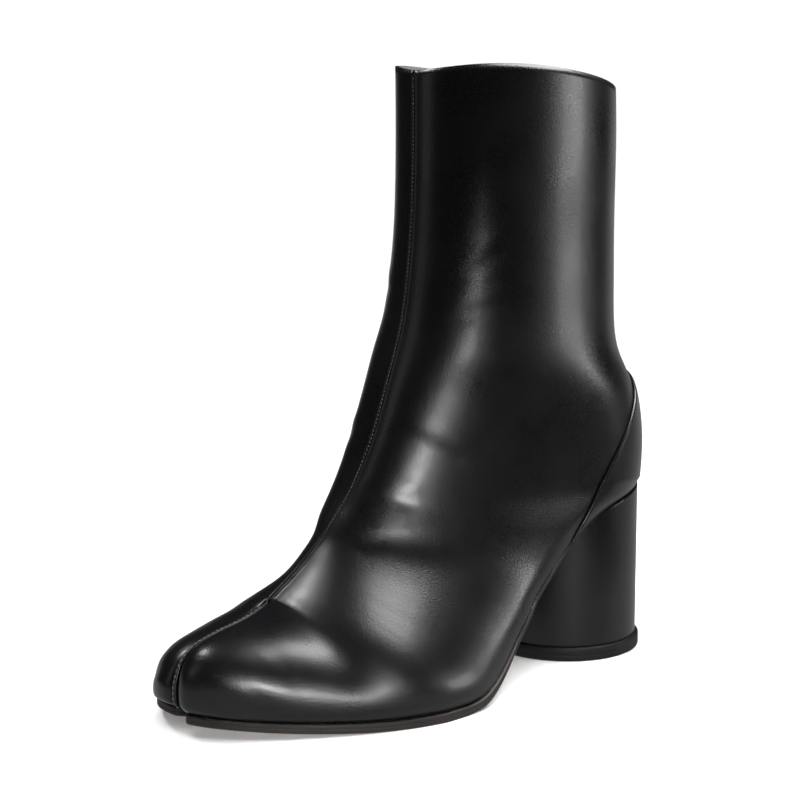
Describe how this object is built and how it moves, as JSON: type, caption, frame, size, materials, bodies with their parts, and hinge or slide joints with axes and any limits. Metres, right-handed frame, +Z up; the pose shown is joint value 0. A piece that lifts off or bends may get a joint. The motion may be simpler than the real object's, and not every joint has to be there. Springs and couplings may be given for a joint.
{
  "type": "ankle boot",
  "caption": "Split-toe ankle boot with a tall plain shaft, a raised front seam, a heel counter, a thin shaped sole and a high round block heel.",
  "frame": {"origin": "middle of the footprint's bounding box, on the floor", "axes": "+Z up, the toe towards -Y, the outer side of the foot towards +X"},
  "size_m": [0.094, 0.2246, 0.2402],
  "materials": {
    "upper_leather": "smooth, glossy black",
    "counter_leather": "smooth, glossy black",
    "web_leather": "black with close stitches",
    "sole_leather": "black-brown edge, satin",
    "insole_leather": "matt dark lining",
    "heel_leather": "smooth, glossy black",
    "lift_rubber": "satin black"
  },
  "bodies": {
    "root": {"upper": "upper_leather", "counter": "counter_leather", "toe_web": "web_leather", "outsole": "sole_leather", "insole": "insole_leather", "heel_block": "heel_leather", "top_lift": "lift_rubber"}
  },
  "joints": []
}
